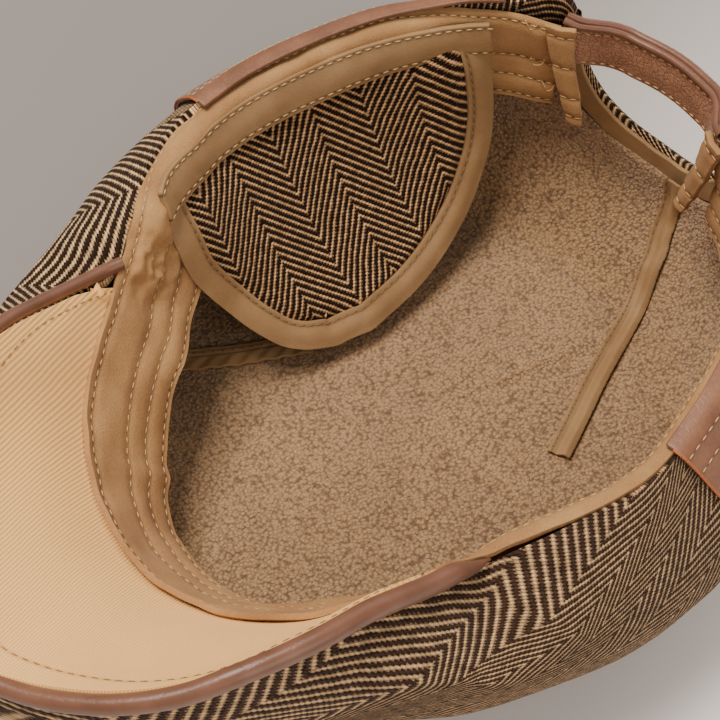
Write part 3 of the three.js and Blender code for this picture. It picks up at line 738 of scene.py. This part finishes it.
# %% Cotton
def cotton(name, light, dark, grain, depth, roughness, sheen):
    """Cotton clouded from dark to light, with a grain of that size and depth in mm."""
    material, tree = new_material(name)
    place = add(tree, "TexCoord").node.outputs["Object"]
    clouds = add(tree, "TexNoise", place, named={"Scale": 70.0, "Detail": 4.0})
    fibres = add(tree, "TexNoise", place, named={"Scale": 1 / (grain * MM), "Detail": 3.0})
    mask = add(tree, "MapRange", clouds, 0.35, 0.65)
    colour = add(tree, "MixRGB", mask, linear(dark), linear(light))
    colour = shaded(tree, colour, fibres, 0.3, 0.7, 0.88, 1.09)
    holes, groove_shade = seam_marks(tree)
    # Painted shade in the seam's groove and in its needle holes.
    colour = darken(tree, colour, groove_shade, 0.3)
    colour = darken(tree, colour, holes, 0.75)
    height = add(tree, "Math", holes, -1.5, fibres, operation="MULTIPLY_ADD")
    return finish_material(
        material, tree, colour, height, depth,
        Roughness=roughness, Sheen_Weight=sheen, Sheen_Roughness=0.5, Specular_IOR_Level=0.25,
    )


band_cotton = cotton("brushed cotton", "#ab8254", "#976e45", 0.5, 0.16, 0.85, 0.06)
binding_cotton = cotton("coated cotton", "#9a7952", "#8a6945", 0.35, 0.07, 0.55, 0.05)

# %% [markdown]
# **Peak twill.** A cream cotton with fine ribs 0.8 mm apart, each made of small knots. Its
# cloth map runs along the ribs and across them, and two waves multiplied give rows of knots.

# %% Twill of the peak
RIB = 0.78  # millimetres from rib to rib
KNOT = 0.75  # millimetres from knot to knot along a rib


def twill():
    """Ribs of knots, with every second rib's knots half a step further along."""
    material, tree = new_material("cotton twill, peak")
    place = add(tree, "UVMap", uv_map="cloth")
    wobble = add(tree, "TexNoise", place, named={"Scale": 60.0, "Detail": 2.0})
    clouds = add(tree, "TexNoise", place, named={"Scale": 25.0, "Detail": 3.0})
    grain = add(tree, "TexNoise", place, named={"Scale": 2800.0, "Detail": 2.0})
    split = add(tree, "SeparateXYZ", place)
    ribs = add(tree, "Math", split.node.outputs["Y"], 1 / (RIB * MM), wobble,
               operation="MULTIPLY_ADD")
    along = add(tree, "Math", split, 1 / (KNOT * MM), wobble, operation="MULTIPLY_ADD")
    rows = add(tree, "Math", ribs, operation="FLOOR")
    along = add(tree, "Math", rows, 0.5, along, operation="MULTIPLY_ADD")
    rib = add(tree, "Math", ribs, 0.5, operation="PINGPONG")
    rib = add(tree, "MapRange", rib, 0.05, 0.4, interpolation_type="SMOOTHSTEP")
    knot = add(tree, "Math", along, 0.5, operation="PINGPONG")
    knot = add(tree, "MapRange", knot, 0.0, 0.5, 0.5, 1.0)
    height = add(tree, "Math", rib, knot, operation="MULTIPLY")
    height = add(tree, "Math", grain, 0.5, height, operation="MULTIPLY_ADD")
    # Painted shade in the grooves between the ribs and knots: the colour is darker where the
    # relief is low.
    mask = add(tree, "MapRange", height, 0.1, 1.1)
    colour = add(tree, "MixRGB", mask, linear("#e3a75f"), linear("#fbc97c"))
    colour = shaded(tree, colour, clouds, 0.3, 0.7, 0.94, 1.04)
    holes, groove_shade = seam_marks(tree)
    # Painted shade in the seam's groove and in its needle holes.
    colour = darken(tree, colour, groove_shade, 0.25)
    colour = darken(tree, colour, holes, 0.8)
    return finish_material(
        material, tree, colour, height, 0.14,
        Roughness=0.85, Sheen_Weight=0.15, Specular_IOR_Level=0.2,
    )


peak_twill = twill()

# %% [markdown]
# **Leather.** Brown cow leather, rolled or pebbled when it was finished. Its skin is closed
# and waxed, so it has a soft highlight, and its grain is a net of fine creases: the borders
# of Voronoi cells, bent by a noise. Where it was cut, the raw edge is orange.

# %% Leather
def leather(name, light, dark, pebble, depth, roughness, crease_shade):
    """Leather clouded from dark to light, with pebbles of that size and a relief of that depth
    in mm. The last argument is how much painted shade darkens its creases."""
    material, tree = new_material(name)
    place = add(tree, "TexCoord").node.outputs["Object"]
    bend = add(tree, "TexNoise", place, named={"Scale": 300.0, "Detail": 2.0})
    bend = bend.node.outputs["Color"]
    bent = add(tree, "VectorMath", bend, (0.0035,) * 3, place, operation="MULTIPLY_ADD")
    cells = add(tree, "TexVoronoi", bent, named={"Scale": 1 / (pebble * MM)},
                feature="DISTANCE_TO_EDGE")
    clouds = add(tree, "TexNoise", place, named={"Scale": 90.0, "Detail": 4.0})
    pores = add(tree, "TexNoise", place, named={"Scale": 3000.0, "Detail": 1.0})
    crease = add(tree, "MapRange", cells, 0.0, 0.15, interpolation_type="SMOOTHSTEP")
    height = add(tree, "Math", pores, 0.2, crease, operation="MULTIPLY_ADD")
    mask = add(tree, "MapRange", clouds, 0.35, 0.65)
    colour = add(tree, "MixRGB", mask, linear(dark), linear(light))
    # Painted shade in the creases of the grain.
    colour = shaded(tree, colour, crease, 0.0, 1.0, 1.0 - crease_shade, 1.0)
    holes, groove_shade = seam_marks(tree)
    # Painted shade in the seam's groove and in its needle holes.
    colour = darken(tree, colour, groove_shade, 0.15)
    colour = darken(tree, colour, holes, 0.75)
    return finish_material(
        material, tree, colour, height, depth,
        Roughness=roughness, Specular_IOR_Level=0.4, Sheen_Weight=0.05,
    )


smooth_leather = leather("smooth leather", "#875b42", "#714a34", 2.2, 0.03, 0.42, 0.1)
# The rolled leather is the same leather drawn darker than the smooth one, as painted shade for the
# roll's shaded underside, with a smoother grain.
roll_leather_with_painted_shade = leather("rolled leather", "#774f3c", "#65422f", 4.0, 0.02, 0.36, 0.0)
pebbled_leather = leather("pebbled leather", "#a8775a", "#936448", 1.5, 0.2, 0.45, 0.22)


# %% Thread and raw edges
def plain(name, colour, roughness):
    """One colour with a fine uneven twist, for thread and cut edges."""
    material, tree = new_material(name)
    place = add(tree, "TexCoord").node.outputs["Object"]
    twist = add(tree, "TexNoise", place, named={"Scale": 1800.0, "Detail": 1.0})
    colour = shaded(tree, linear(colour), twist, 0.3, 0.7, 0.8, 1.1)
    return finish_material(material, tree, colour, twist, 0.1, Roughness=roughness)


cream_thread = plain("cream cotton thread", "#cfa871", 0.6)
tan_thread = plain("tan cotton thread", "#8f6538", 0.7)
raw_edge = plain("raw leather edge", "#a8592b", 0.7)
print("finishes:", ", ".join(m.name for m in bpy.data.materials))

# %% [markdown]
# ## The tweed crown
#
# A side panel in a ring, and a flat top panel sewn to it near the floor. The side panel was
# cut in two halves that meet in a seam at the front, each with its own run of the weave: on
# the right half the lines are drawn down and forward, and its columns narrow towards the back.
# A strip along the floor is woven with plain slanting lines. The cloth hangs in slow waves.

# %% Crown
TWEED_WALL = 2.0
BACK_TURN, BACK_RADIUS = 40, 70  # degrees to each side of the back, and mm
COLUMNS = (  # where the right half's columns turn, in mm along it, and each one's number
    (-148, -76, -39, -13, 0, 9, 19, 36, 136),
    (-3, -1, 0, 1, 2, 3, 4, 5, 10),
)

LEAN = 1.8  # mm forward for each mm down, along the right half's columns
FLOOR_STRIP = 13  # mm along the floor

crown_grid = rows_of("crown_side", (1, 0, 1), (0, 1, 0), inside=False)
crown = Sheet(crown_grid, inside=False, across=1.5, down=1.4)
x, y, down = crown.places[..., 0], crown.places[..., 1], crown.down
behind = np.clip(1 - np.abs(degrees(crown.places)) / BACK_TURN, 0, 1)
x = x + BACK_RADIUS * (0.3 * behind + 0.35 * behind ** 2)  # the cloth's length round the back
fall = 0.486 * down - 0.874 * x
forward = x + LEAN * down
drawn = np.maximum(fall - 50, 0) * np.interp(forward, (-45, -25), (0.25, 0.85))
right_run = (RIGHT_COLUMN * np.interp(forward + drawn, *COLUMNS), fall)
left_run = (0.909 * x + 0.417 * down + 26.2, 0.70 * down - 0.87 * x)
run = [np.where(y < 0, a, b) for a, b in zip(right_run, left_run)]
low = crown.down[:, -1:] - down < FLOOR_STRIP
run = [np.where(low, a, b) for a, b in zip((x * 0, 1.35 * x + 0.6 * down), run)]
front_seam = np.where(x < 0, np.abs(y), 50)
crown.press(ripple(crown.places, 26, 3, 2) * 0.5 + groove(front_seam, 1.5, 0.6))
piece = lay(crown, "tweed_side", TWEED_WALL, 0.8, cloth=run)
wear(piece, right_tweed, "tweed", "crown_side")
piece.data.materials.append(left_tweed)
for face in piece.data.polygons:
    face.material_index = int(face.center.y > 0)

top = Sheet(rows_of("crown_top", (1, 0, 1), (0, 1, 0), inside=False), False, 2.0, 2.0)
piece = lay(top, "tweed_top", TWEED_WALL, cloth=(top.places[..., 0], top.places[..., 1]))
wear(piece, right_tweed, "tweed", "crown_top")

# %% [markdown]
# The arch at the back is hemmed: its edge is rolled over, so it looks like a tweed cord.

# %% Rolled hem of the arch
HEM_RADIUS = 1.6
HEM_STRETCH = 1.5  # of its cloth map, which draws its weave finer than the crown's

edge = crown_grid[:-1, 0]
arch_edge = edge[(edge[:, 0] > 89) & (edge[:, 1] < 24) & (edge[:, 1] > -37)]
arch_edge = arch_edge[np.argsort(arch_edge[:, 1])]
path = smoothed(arch_edge - outward(arch_edge) * 1.2 + (0, 0, -0.4), 60)
hem = cord(path, HEM_RADIUS)
cloth = (hem.across * HEM_STRETCH, hem.down * HEM_STRETCH)
wear(lay(hem, "arch_hem", cloth=cloth), left_tweed, "tweed")

# %% [markdown]
# **The lining** is one bag of fleece. Its upper edge is raised at the arch to meet the hem, and
# on the floor it keeps clear of the tweed that lies under it.

# %% Lining
FLEECE_WALL = 2.3
LINING_GAP = 0.4
ARCH_TURN = -4  # where the arch's middle lies, in degrees round the cap

grid = rows_of("lining", (1, 0, 1), (0, 1, 0))
rise = bell(degrees(grid[:, 0]) - ARCH_TURN, 22)[:, None]
grid[:, 0] += outward(grid[:, 0]) * rise * 0.5 + (0, 0, 3.5) * rise
lining = Sheet(evened(grid), across=1.5, down=1.5)
lining.press(ripple(lining.places, 2.6, 5, 2) * 0.15 + ripple(lining.places, 38, 9, 2) * 0.9)
lowest = TWEED_WALL + FLEECE_WALL + LINING_GAP
lining.places[..., 2] = np.maximum(lining.places[..., 2], lowest)
lining.measure()
piece = lay(lining, "fleece_lining", FLEECE_WALL)
wear(piece, fleece_pile, "fleece", "lining")

# %% [markdown]
# ## The sweatband
#
# One strip of brushed cotton round the opening, quilted with four rows of stitches that pull
# it into soft puffs. It hangs free: on the right it hangs straight down from the rim, and at
# the left temple it is gathered where the ear flap's band crosses it.

# %% Sweatband
BAND_WALL = 1.5
BAND_ROWS = (0.5, 0.735, 0.955)  # shares of its depth; the first row is near its top edge
TEMPLE = (-37, 61, 60)  # mm: where the band is gathered
OVER = (  # turns round the cap, and mm that the hem reaches outwards there
    (-140, -130, -124, -60, -40, 30, 45, 110, 122, 132),
    (0.3, 0.8, 2.6, 2.6, 1.0, 1.0, 3.4, 4.8, 2.2, 0.3),
)

band_grid = rows_of("sweatband", (1, 1, 1), (-1, 1, 0))
turn = degrees(band_grid[:, 0])
over = np.interp(turn, *OVER)[:, None]
drop = np.array((0, 0, 0.6)) - (over > 3) * (over - 3) * np.array((0, 0, 0.7))
fold = band_grid[:, :1] + (outward(band_grid[:, 0]) * over + drop)[:, None]
band = Sheet(np.concatenate([fold, band_grid], axis=1), across=0.9, down=0.7)
share = band.down / band.down[:, -1:]
turn = degrees(band.places)
# Its lower edge leans out at the right of the front, and in at the left temple.
hang = 8.2 * bell(turn + 137, 17) - 5 * share * bell(turn - 113, 8) - 1.5 * bell(turn - 160, 2)
band.places += outward(band.places) * (hang * share)[..., None]
band.measure()
first_row = np.interp(turn[:, :1], (-135, -120, -60, -30), (2.4, 5.8, 5.8, 2.4))
rows = (first_row, *BAND_ROWS)
near = band.seam(rows)[1]
gathers = ripple(band.places, 5.5, 8, 3) * around(band.places, TEMPLE, 10) * 3.0
hem = (0.4 + 0.8 * ripple(band.places, 9, 4, 1)) * bell(band.down - 2, 3)
band.press(groove(near, 1.5, 0.6) + ripple(band.places, 13, 2, 2) * 0.6 + gathers + hem)
band_piece, _ = sewn(band, "sweatband", "_cloth", (BAND_WALL, 0.6), rows, cream_thread,
                     band_cotton, "sweatband_cloth", "sweatband")

# %% [markdown]
# ## The peak
#
# Seen from below, the peak is a stiff cotton plate. Its root goes in under the sweatband's
# hem, and its front edge is sewn to a leather roll by a row that comes closer to the roll on
# the right. The roll is a cord that tapers to a point at the right temple.

# %% Peak
ROOT_IN, ROOT_DOWN = 2.0, 4.8  # mm from the sweatband's upper edge to the peak's root

grid = rows_of("peak", (0, 1, 1), (0, -1, 0))
reach = np.interp(grid[:, :1, 1], (-20, 40), (1.6, 7.0))  # mm that it goes in under the roll
grid = grown(grid, first=reach)[:-1]
grid[0] = 2 * grid[1] - grid[2]  # at the far corner it carries on in line with its neighbours
rim = band_grid[np.abs(degrees(band_grid[:, 0])) > 119, 0]
rim = rim[np.argsort(rim[:, 1])]
beside = grid[:, -1, 1]
grid[:, -1, 0] = np.interp(beside, rim[:, 1], rim[:, 0]) + ROOT_IN
grid[:, -1, 2] = np.interp(beside, rim[:, 1], rim[:, 2]) - ROOT_DOWN
under = Sheet(grid, across=1.0, down=1.0)
x, y = under.places[:, :1, 0], under.places[:, :1, 1]
inset = np.interp(y, (-60, 10, 60), (3.2, 9.5, 14.4)) + 5 * np.clip((x + 90) / 35, 0, 1) * (y > 0)
ribs = ((0.96, 0.28), (-0.28, 0.96))  # the directions along the ribs and across them
cloth = [under.places[..., 0] * a + under.places[..., 1] * b for a, b in ribs]
under.press(ripple(under.places, 45, 6, 1) * 0.3)
piece = lay(under, "peak_underside", 2.0, 0.4, seam=under.seam((inset,)), cloth=cloth)
wear(piece, peak_twill, "peak_twill", "peak")
stitch("peak_stitches", [under.line(inset)], tan_thread)

# %% Leather roll
ROLL_TIPS = ((-46.5, 64.5, 62.5), (-46.5, -66.0, 62.0))  # mm: at the left and right temples
ROLL_PLACES = 330  # about one to the millimetre

round_front = edge[np.abs(degrees(edge)) > 127.5]
path = np.concatenate([ROLL_TIPS[:1], round_front + outward(round_front) * 0.4, ROLL_TIPS[1:]])
path = smoothed(path + (0, 0, 3.5), ROLL_PLACES)
thick = np.interp(path[:, 1], (-60, 60), (2.6, 1.9))
from_tip = np.arange(ROLL_PLACES)[::-1]
thick *= np.clip(from_tip / 16, 0.05, 1) ** 0.6
wear(lay(cord(path, thick), "peak_roll_leather"), roll_leather_with_painted_shade, "leather", "peak_roll")

# %% [markdown]
# ## The ear flaps
#
# Each flap is tweed with a binding round its edge and a band along its top. The binding is a
# folded strip, so it bulges, and the tweed runs in under it. The flap's own weave hangs
# straight down in columns 14.7 mm wide. The right flap is the left one's twin, tucked away
# behind the sweatband.

# %% Ear flaps
FLAP_SLOPE = 1.24  # how far the lines drop for each mm across
FLAP_WALLS = (1.8, 0.7)  # mm: the binding's and the band's thickness, and their rounded edges
BAND_EDGES = (  # the band's two edges at its front end, its fourth corner and its back end,
    (-1.2, 0.0, 0.3),  # as shares of the CAD band's width
    (1.3, 2.1, 2.2),
)


def ear_flap(side):
    """One flap: its tweed face, the face's flat size and area, and what is sewn to it."""
    grid = rows_of("ear_flap_" + side, (-1, 0, 1), (1, 0, 0))
    face = Sheet(grown(grid, first=1.0, last=1.2, left=1.2, right=1.2), across=1.0, down=1.0)
    x, y, z = np.moveaxis(face.places, 2, 0)
    run = (FLAP_SLOPE * (x - 0.3), -0.514 * np.abs(y) - 0.857 * z)
    border = np.minimum(np.minimum(face.across, face.across[-1:] - face.across),
                        face.down[:, -1:] - face.down)
    sunk = 1.9 * bell(border, 3.0) + 2.2 * bell(face.down, 5.0)
    face.press(ripple(face.places, 30, 4, 1) * 0.4 - sunk)
    size = (float(face.across.max() * MM), float(face.down.max() * MM)), area_of(face)
    face_piece = lay(face, f"ear_flap_{side}_tweed", 1.6, 0.4, cloth=run)
    wear(face_piece, flap_tweed, "tweed", "ear_flap_" + side)

    grid = rows_of("ear_flap_binding_" + side, (-1, 0, 1), (0, 0, -1))
    grid[:, 1] += (grid[:, 1] - grid[:, 0]) * 0.15
    binding = Sheet(grown(grid, left=1.0), across=1.0, down=0.5)
    ends = np.minimum(binding.across, binding.across[-1:] - binding.across)
    puff = bell(binding.down / binding.down[:, -1:] - 0.45, 0.35) * 0.8
    binding.press(puff + ripple(binding.places, 12, 1, 2) * 0.3 - 2.4 * bell(ends, 7))
    bound = sewn(binding, f"ear_flap_{side}_binding", "", FLAP_WALLS, (-1.5,), tan_thread,
                 binding_cotton, "binding_cloth", "ear_flap_binding_" + side)

    grid = rows_of("ear_flap_band_" + side, (-1, 0, 1), (1, 0, 0))
    wide = grid[:, 1] - grid[:, 0]
    count = np.arange(len(grid))
    upper, lower = (np.interp(count, (0, 3, 16), s)[:, None] for s in BAND_EDGES)
    grid = np.stack([grid[:, 0] + wide * upper, grid[:, 0] + wide * lower], axis=1)
    strip = Sheet(grown(grid, right=1.0), across=1.0, down=0.5)
    puff = bell(strip.down / strip.down[:, -1:] - 0.5, 0.4) * 0.7 + 1.6
    strip.press(puff + ripple(strip.places, 10, 5, 2) * 0.3)
    banded = sewn(strip, f"ear_flap_{side}_band", "", FLAP_WALLS, (1.2, -1.5), cream_thread,
                  binding_cotton, "binding_cloth", "ear_flap_band_" + side)
    return face_piece, size, [bound[0], banded[0], bound[1], banded[1]]


flaps = [ear_flap("left"), ear_flap("right")]

# %% [markdown]
# ## Leather
#
# A band is folded over the rim on each side, with two rows of stitches outside and a raw cut
# edge at its front. The strap over the arch has two layers: the inner one has a rolled upper
# edge, a row of stitches along each edge, and pebbled skin between them.

# %% Leather bands over the rim
for side in ("left", "right"):
    name = "side_band_" + side
    grid = rows_of(name, (-1, 0, 1), (1, 0, 0), inside=False)
    hide = Sheet(grid, inside=False, across=1.0, down=0.6)
    hide.press(ripple(hide.places, 18, 7, 1) * 0.4)
    sewn(hide, name, "_leather", (1.3, 0.4), (7.0, 12.5), cream_thread,
         smooth_leather, "leather", name)
    cut = hide.places[0, 4:] - hide.normals[0, 4:] * 0.4
    wear(lay(cord(cut, 0.45), name + "_edge"), raw_edge, "leather")

# %% Strap
SAG = 2.3  # mm, most at 9 mm to the left of the cap's middle

for name in ("strap_inner", "strap_outer"):
    grid = rows_of(name, (0, 1, 1), (0, -1, 0))
    grid[..., 2] -= SAG * bell(grid[..., 1] - 9, 13)
    hide = Sheet(grid, across=0.8, down=0.5)
    hide.press(bell(hide.down / hide.down[:, -1:] - 0.55, 0.3) * 0.5)
    sewn(hide, name, "_leather", (1.4, 0.45), (2.6, -1.4), cream_thread,
         pebbled_leather, "leather", name)
    rolled = hide.places[:, 0] - (0, 0, 0.5)
    wear(lay(cord(rolled, 1.0), name + "_roll"), roll_leather_with_painted_shade, "leather")

# %% [markdown]
# ## Trim
#
# A binding covers the raw edge inside the arch, and a folded tab covers each end of the
# sweatband, sewn across four times. Two tapes cover seams of the lining: each is folded along
# its length, and the one at the left side is puckered.

# %% Arch binding and tabs
grid = rows_of("arch_binding", (0, 1, 1), (0, 0, -1))
arch = Sheet(grown(grid, first=0.9, last=1.0) + (0, 0, 0.5), across=0.8, down=0.5)
arch.press(ripple(arch.places, 9, 3, 2) * 0.35)
wear(lay(arch, "arch_binding_cloth", 1.4, 0.5), binding_cotton, "binding_cloth", "arch_binding")
TAB_WIDTHS = (0.9, 0.95, 1.3, 2.3)  # against the CAD tab's, from the top down
TAB_ROWS = (0.09, 0.4, 0.72, 0.92)  # shares of the tab's length

for side in ("left", "right"):
    name = "corner_tab_" + side
    grid = rows_of(name, (0, 1, 1), (0, -1, 0))
    middle = grid.mean(axis=0, keepdims=True)
    grid = middle + (grid - middle) * np.array(TAB_WIDTHS)[None, :, None]
    tab = Sheet(grid, across=0.5, down=0.5)
    near = tab.seam(TAB_ROWS)[1]
    tab.press(groove(near, 1.4, 0.5) + bell(tab.across - tab.across[-1:] / 2, 2.5) * 0.8)
    sewn(tab, name, "_cloth", (1.8, 0.6), TAB_ROWS, cream_thread,
         band_cotton, "sweatband_cloth", name, share=0.85)

# %% Loose loops of thread beside the left tab
LOOPS = ((85.4, 32.4, 83.5), (86.9, 29.6, 70.0), (88.8, 26.0, 60.5))  # mm
swing = np.linspace(0, np.pi, 9)[:, None]
for index, place in enumerate(LOOPS):
    side = 1 if index % 2 else -1
    loop = place + np.cos(swing) * (0.7, -1.8, 0) - np.sin(swing) * (0.5, 0.2, 2.6)
    loop = smoothed(loop + np.sin(swing * 2) * np.array((0.1, -0.5, 0.6)) * side, 24)
    wear(lay(cord(loop, 0.15), f"loose_thread_{index}"), cream_thread, "sweatband_cloth")

# %% Tapes
BEND = (  # corners along the back tape, and mm that it is bent aside there
    (0, 5, 9, 12, 15, 18),
    (1.5, 2.6, 4.6, 4.0, 1.2, 0),
)
TAPE_WALLS = (0.9, 0.35)
TUCKED = 9  # cells at the back tape's upper end, cut off where the arch binding covers it

grid = rows_of("back_seam_tape", (1, 1, 1), (-1, 0, -1))
wide = grid[:, 1] - grid[:, 0]
grid = grid + (unit(wide) * np.interp(np.arange(len(grid)), *BEND)[:, None])[:, None]
grid[:, 1] += wide * 0.3
tape = Sheet(grid, across=0.8, down=0.4)
tape.places = tape.places[TUCKED:]
tape.measure()
share = tape.down / tape.down[:, -1:]
fold = bell(share - 0.72, 0.18) * 0.9 - bell(share - 0.4, 0.08) * 0.4
fold *= np.clip(tape.across / 6, 0, 1)
tape.press(fold + ripple(tape.places, 7, 2, 2) * 0.3)
seam = tape.seam((1.2, -0.0001))  # its last edge is pressed, but not stitched
piece = lay(tape, "back_seam_tape_cloth", *TAPE_WALLS, seam=seam)
wear(piece, binding_cotton, "binding_cloth", "back_seam_tape")
stitch("back_seam_tape_stitches", [tape.line(1.2)], tan_thread, thread=0.18)

tape = Sheet(rows_of("side_seam_tape", (-1, 1, 1), (1, 0, 0)), across=0.6, down=0.4)
share = tape.down / tape.down[:, -1:]
puckers = np.sin(tape.across * 1.1 + tape.down * 1.6) * 0.3 * np.clip((share - 0.35) * 4, 0, 1)
tape.press(puckers - bell(share - 0.33, 0.06) * 0.4 + ripple(tape.places, 9, 6, 2) * 0.3)
sewn(tape, "side_seam_tape", "_cloth", TAPE_WALLS, (1.6,), tan_thread,
     binding_cotton, "binding_cloth", "side_seam_tape", thread=0.18)

# %% The loose sheets
for piece, (cut, area), joined in flaps:
    print(piece.name, "cut", [round(v, 3) for v in cut], "area", round(area, 5))
cut = (float(band.across.mean(axis=1)[-1] * MM), float(band.down[:, -1].mean() * MM))
print("sweatband cut", [round(v, 3) for v in cut])
